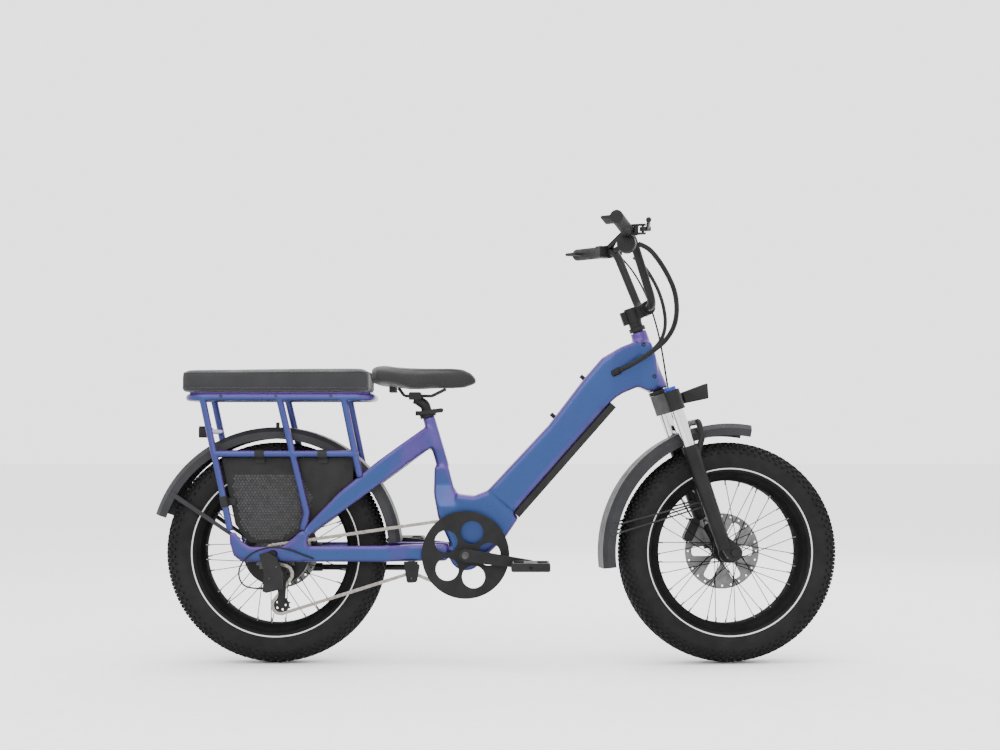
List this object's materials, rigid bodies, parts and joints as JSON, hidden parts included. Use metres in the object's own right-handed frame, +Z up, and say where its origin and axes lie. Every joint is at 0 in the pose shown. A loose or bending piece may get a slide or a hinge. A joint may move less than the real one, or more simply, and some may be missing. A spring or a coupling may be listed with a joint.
{
  "type": "cargo bicycle",
  "caption": "Long-tail electric cargo bicycle with small fat tyres, step-through frame, swept raised handlebar, suspension fork and padded rear passenger rack.",
  "frame": {"origin": "on the ground, under the middle of the bicycle's length, in the frame's middle plane", "axes": "+X forwards, +Y to the rider's left, +Z up"},
  "size_m": [1.8012, 0.6597, 1.176],
  "materials": {
    "frame_paint": "satin iridescent blue to violet",
    "black_metal": "satin black",
    "black_plastic": "moulded matte black",
    "fender_plastic": "matte charcoal",
    "guard_mesh": "perforated black sheet",
    "tyre_rubber": "moulded rubber with a reflective stripe",
    "grip_rubber": "textured soft rubber",
    "chrome": "polished",
    "steel": "oiled steel",
    "blue_knob": "anodised look",
    "saddle_cover": "grained synthetic cover",
    "pad_cover": "woven water-resistant cover",
    "cable_black": "braided and plain black jackets"
  },
  "bodies": {
    "frame": {"head_tube": "frame_paint", "down_tube": "frame_paint", "cradle": "frame_paint", "seat_tube": "frame_paint", "bottom_bracket": "black_metal", "seat_stays": "frame_paint", "chain_stays": "frame_paint", "dropout_plates": "frame_paint", "rack_frame": "frame_paint", "rack_pad": "pad_cover", "rear_fender": "fender_plastic", "tail_light": "black_plastic", "wheel_guards": "guard_mesh", "frame_fittings": "black_metal", "rear_axle": "black_metal", "rear_caliper": "black_metal", "derailleur": "black_plastic", "chain": "steel", "chain_guide": "black_metal", "derailleur_housing": "cable_black"},
    "battery": {"battery": "black_plastic"},
    "seat": {"seat_post": "black_metal", "saddle": "saddle_cover", "saddle_rails": "black_metal"},
    "seat_clamp_lever": {"seat_clamp_lever": "black_metal"},
    "steering": {"fork_crown": "black_metal", "stanchions": "chrome", "stem": "black_metal", "handlebar": "black_metal", "grips": "grip_rubber", "brake_perches": "black_metal", "shifter_pod": "black_plastic", "cockpit_controls": "black_plastic", "headlight": "black_plastic", "harness_right": "cable_black", "harness_left": "cable_black"},
    "lockout_knob": {"lockout_knob": "blue_knob"},
    "brake_lever_right": {"brake_lever_right": "black_metal"},
    "brake_lever_left": {"brake_lever_left": "black_metal"},
    "shift_lever": {"shift_lever": "black_plastic"},
    "fork_lowers": {"fork_lowers": "black_metal", "front_fender": "fender_plastic", "front_caliper": "black_metal", "front_axle": "black_metal", "brake_hose": "cable_black"},
    "front_wheel": {"front_tyre": "tyre_rubber", "front_rim": "black_metal", "front_hub": "black_metal"},
    "rear_wheel": {"rear_tyre": "tyre_rubber", "rear_rim": "black_metal", "hub_motor": "black_metal"},
    "crankset": {"crank_arms": "black_metal", "chainring": "black_plastic"},
    "cassette": {"cassette": "steel"},
    "guide_pulley": {"guide_pulley": "black_plastic"},
    "tension_pulley": {"tension_pulley": "black_plastic"},
    "chain_roller": {"chain_roller": "black_plastic"},
    "pedal_right": {"pedal_right": "black_plastic"},
    "pedal_left": {"pedal_left": "black_plastic"},
    "kickstand": {"kickstand_leg": "black_metal"}
  },
  "joints": [
    {"name": "steering_turn", "type": "hinge", "parent": "frame", "child": "steering", "pos_m": [0.42164, 0, 0.71874], "axis": [-0.3239, 0, 0.9461], "range_deg": [-46, 34], "deforming": ["harness_right", "harness_left"]},
    {"name": "fork_travel", "type": "slide", "parent": "steering", "child": "fork_lowers", "axis": [-0.3239, 0, 0.9461], "range_m": [0, 0.04], "stiffness_N_per_m": 30000, "springref_m": -0.015, "deforming": ["brake_hose"]},
    {"name": "front_wheel_spin", "type": "hinge", "parent": "fork_lowers", "child": "front_wheel", "pos_m": [0.60283, 0.00352, 0.29294], "axis": [-0.0989, 0.9945, -0.0339], "continuous": true},
    {"name": "rear_wheel_spin", "type": "hinge", "parent": "frame", "child": "rear_wheel", "pos_m": [-0.591, 0, 0.293], "axis": [0, 1, 0], "continuous": true},
    {"name": "crank_spin", "type": "hinge", "parent": "frame", "child": "crankset", "pos_m": [-0.09, 0, 0.29], "axis": [0, 1, 0], "continuous": true},
    {"name": "cassette_spin", "type": "hinge", "parent": "frame", "child": "cassette", "pos_m": [-0.591, 0, 0.293], "axis": [0, 1, 0], "continuous": true},
    {"name": "guide_pulley_spin", "type": "hinge", "parent": "frame", "child": "guide_pulley", "pos_m": [-0.566, 0, 0.24], "axis": [0, 1, 0], "continuous": true},
    {"name": "tension_pulley_spin", "type": "hinge", "parent": "frame", "child": "tension_pulley", "pos_m": [-0.572, 0, 0.159], "axis": [0, 1, 0], "continuous": true},
    {"name": "chain_roller_spin", "type": "hinge", "parent": "frame", "child": "chain_roller", "pos_m": [-0.231, 0, 0.229], "axis": [0, 1, 0], "continuous": true},
    {"name": "pedal_right_spin", "type": "hinge", "parent": "crankset", "child": "pedal_right", "pos_m": [0.07835, 0, 0.26634], "axis": [0, 1, 0], "continuous": true},
    {"name": "pedal_left_spin", "type": "hinge", "parent": "crankset", "child": "pedal_left", "pos_m": [-0.25835, 0, 0.31366], "axis": [0, 1, 0], "continuous": true},
    {"name": "brake_lever_right_pull", "type": "hinge", "parent": "steering", "child": "brake_lever_right", "pos_m": [0.3623, -0.19493, 1.12543], "axis": [-0.0017, 0.0339, 0.9994], "range_deg": [0, 20], "stiffness_Nm_per_rad": 0.6, "springref_deg": -17.19},
    {"name": "brake_lever_left_pull", "type": "hinge", "parent": "steering", "child": "brake_lever_left", "pos_m": [0.32239, 0.20639, 1.11176], "axis": [0.0017, -0.0339, -0.9994], "range_deg": [0, 20], "stiffness_Nm_per_rad": 0.6, "springref_deg": -17.19},
    {"name": "shift_lever_push", "type": "hinge", "parent": "steering", "child": "shift_lever", "pos_m": [0.32105, -0.17617, 1.09251], "axis": [0.2599, 0.959, -0.1133], "range_deg": [0, 25], "stiffness_Nm_per_rad": 0.3, "springref_deg": -17.19},
    {"name": "lockout_turn", "type": "hinge", "parent": "steering", "child": "lockout_knob", "pos_m": [0.44389, -0.08009, 0.72319], "axis": [-0.3239, 0, 0.9461], "range_deg": [0, 90]},
    {"name": "battery_out", "type": "slide", "parent": "frame", "child": "battery", "axis": [0.7516, 0, -0.6596], "range_m": [0, 0.08]},
    {"name": "seat_height", "type": "slide", "parent": "frame", "child": "seat", "axis": [-0.2823, 0, 0.9593], "range_m": [0, 0.1]},
    {"name": "seat_clamp_open", "type": "hinge", "parent": "frame", "child": "seat_clamp_lever", "pos_m": [-0.21741, -0.025, 0.6608], "axis": [0, 0, -1], "range_deg": [0, 150]},
    {"name": "kickstand_swing", "type": "hinge", "parent": "frame", "child": "kickstand", "pos_m": [-0.239, 0.068, 0.246], "axis": [-0.0383, -0.8508, -0.5241], "range_deg": [0, 103.13]}
  ],
  "couplings": [
    {"joint": "cassette_spin", "follows": "crank_spin", "ratio": 4.3636},
    {"joint": "guide_pulley_spin", "follows": "crank_spin", "ratio": -4.3636},
    {"joint": "tension_pulley_spin", "follows": "crank_spin", "ratio": 4.3636},
    {"joint": "chain_roller_spin", "follows": "crank_spin", "ratio": -7.1919}
  ]
}
